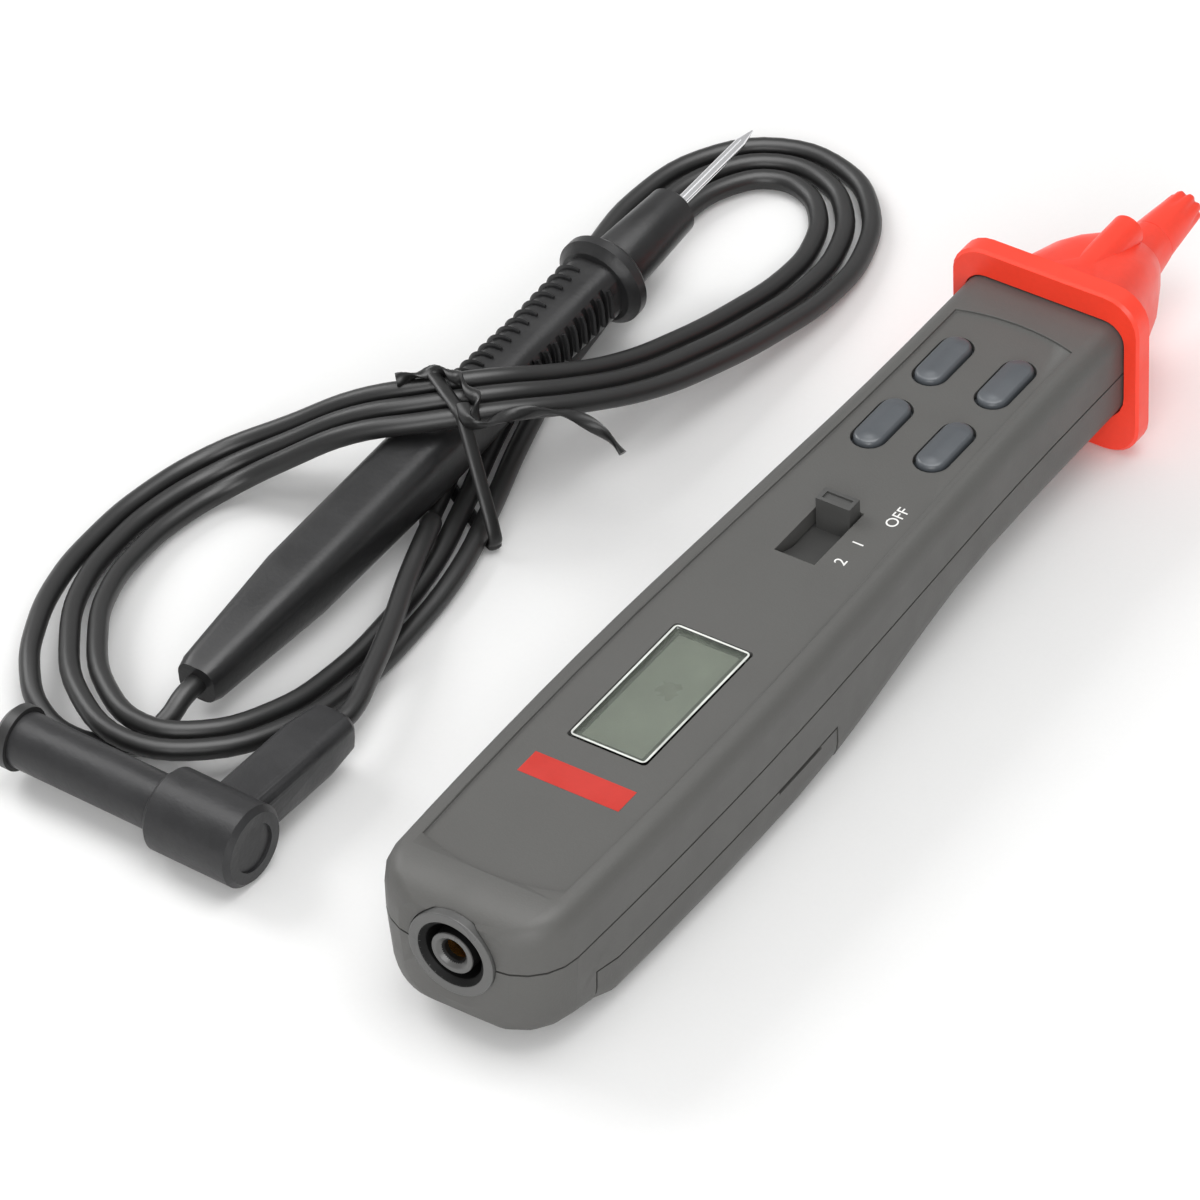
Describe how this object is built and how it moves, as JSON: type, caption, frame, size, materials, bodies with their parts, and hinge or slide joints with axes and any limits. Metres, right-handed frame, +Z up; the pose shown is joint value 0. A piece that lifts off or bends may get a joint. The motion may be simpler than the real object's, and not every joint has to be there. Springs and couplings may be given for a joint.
{
  "type": "pen multimeter",
  "caption": "Pen-shaped digital multimeter with display, keys and slide switch, a red probe nose with finger guard, and a wound test lead with plug and hand probe.",
  "frame": {"origin": "middle of the meter's length and width, on the surface that it lies on", "axes": "+Y towards the red nose, +X to the right of the display, +Z up out of the display"},
  "size_m": [0.1476, 0.238, 0.0346],
  "materials": {
    "case": "fine textured satin",
    "window": "clear polished",
    "lcd": "smooth",
    "white_plastic": "matte",
    "strip_rubber": "matte",
    "board": "satin",
    "key_rubber": "matte",
    "mat_rubber": "matte",
    "knob": "satin",
    "brass": "bright",
    "socket": "satin",
    "red_plastic": "satin",
    "steel": "bright",
    "lamp": "clear",
    "cell_jacket": "satin",
    "black_plastic": "satin",
    "ceramic": "matte",
    "black_rubber": "fine textured satin",
    "chrome": "polished",
    "lead_jacket": "satin",
    "tie": "satin"
  },
  "bodies": {
    "meter": {"top_case": "case", "bottom_case": "case", "display_window": "window", "display_panel": "lcd", "display_frame": "white_plastic", "contact_strips": "strip_rubber", "circuit_board": "board", "keypad_mat": "mat_rubber", "jack_housing": "socket", "jack_contact": "brass", "nose_guard": "red_plastic", "probe_pin": "steel", "pin_terminal": "brass", "torch_lamp": "lamp", "batteries": "cell_jacket", "battery_springs": "steel", "battery_contacts": "steel", "buzzer": "black_plastic", "main_chip": "black_plastic", "safety_resistor": "ceramic", "case_screws": "steel", "board_screws": "steel", "plug_body": "black_rubber", "plug_pin": "brass", "probe_handle": "black_rubber", "probe_needle": "chrome", "lead_hank": "lead_jacket", "lead_probe_run": "lead_jacket", "lead_plug_run": "lead_jacket", "twist_tie": "tie"},
    "key_front_left": {"key_front_left": "key_rubber"},
    "key_front_right": {"key_front_right": "key_rubber"},
    "key_rear_left": {"key_rear_left": "key_rubber"},
    "key_rear_right": {"key_rear_right": "key_rubber"},
    "switch": {"switch_knob": "knob", "switch_wiper": "brass"},
    "battery_cover": {"battery_cover": "case"},
    "tip_cap": {"tip_cap": "red_plastic"},
    "plug_cap": {"plug_cap": "black_plastic"}
  },
  "joints": [
    {"name": "key_front_left_press", "type": "slide", "parent": "meter", "child": "key_front_left", "axis": [0, 0, -1], "range_m": [0, 0.0006], "stiffness_N_per_m": 800, "springref_m": -0.0003},
    {"name": "key_front_right_press", "type": "slide", "parent": "meter", "child": "key_front_right", "axis": [0, 0, -1], "range_m": [0, 0.0006], "stiffness_N_per_m": 800, "springref_m": -0.0003},
    {"name": "key_rear_left_press", "type": "slide", "parent": "meter", "child": "key_rear_left", "axis": [0, 0, -1], "range_m": [0, 0.0006], "stiffness_N_per_m": 800, "springref_m": -0.0003},
    {"name": "key_rear_right_press", "type": "slide", "parent": "meter", "child": "key_rear_right", "axis": [0, 0, -1], "range_m": [0, 0.0006], "stiffness_N_per_m": 800, "springref_m": -0.0003},
    {"name": "switch_slide", "type": "slide", "parent": "meter", "child": "switch", "axis": [0, -1, 0], "range_m": [0, 0.0112]},
    {"name": "battery_cover_off", "type": "slide", "parent": "meter", "child": "battery_cover", "axis": [0, 0, -1], "range_m": [0, 0.015]},
    {"name": "tip_cap_off", "type": "slide", "parent": "meter", "child": "tip_cap", "axis": [0, 1, 0], "range_m": [0, 0.025]},
    {"name": "plug_cap_off", "type": "slide", "parent": "meter", "child": "plug_cap", "axis": [-0.9989, 0.0471, 0], "range_m": [0, 0.012]}
  ]
}
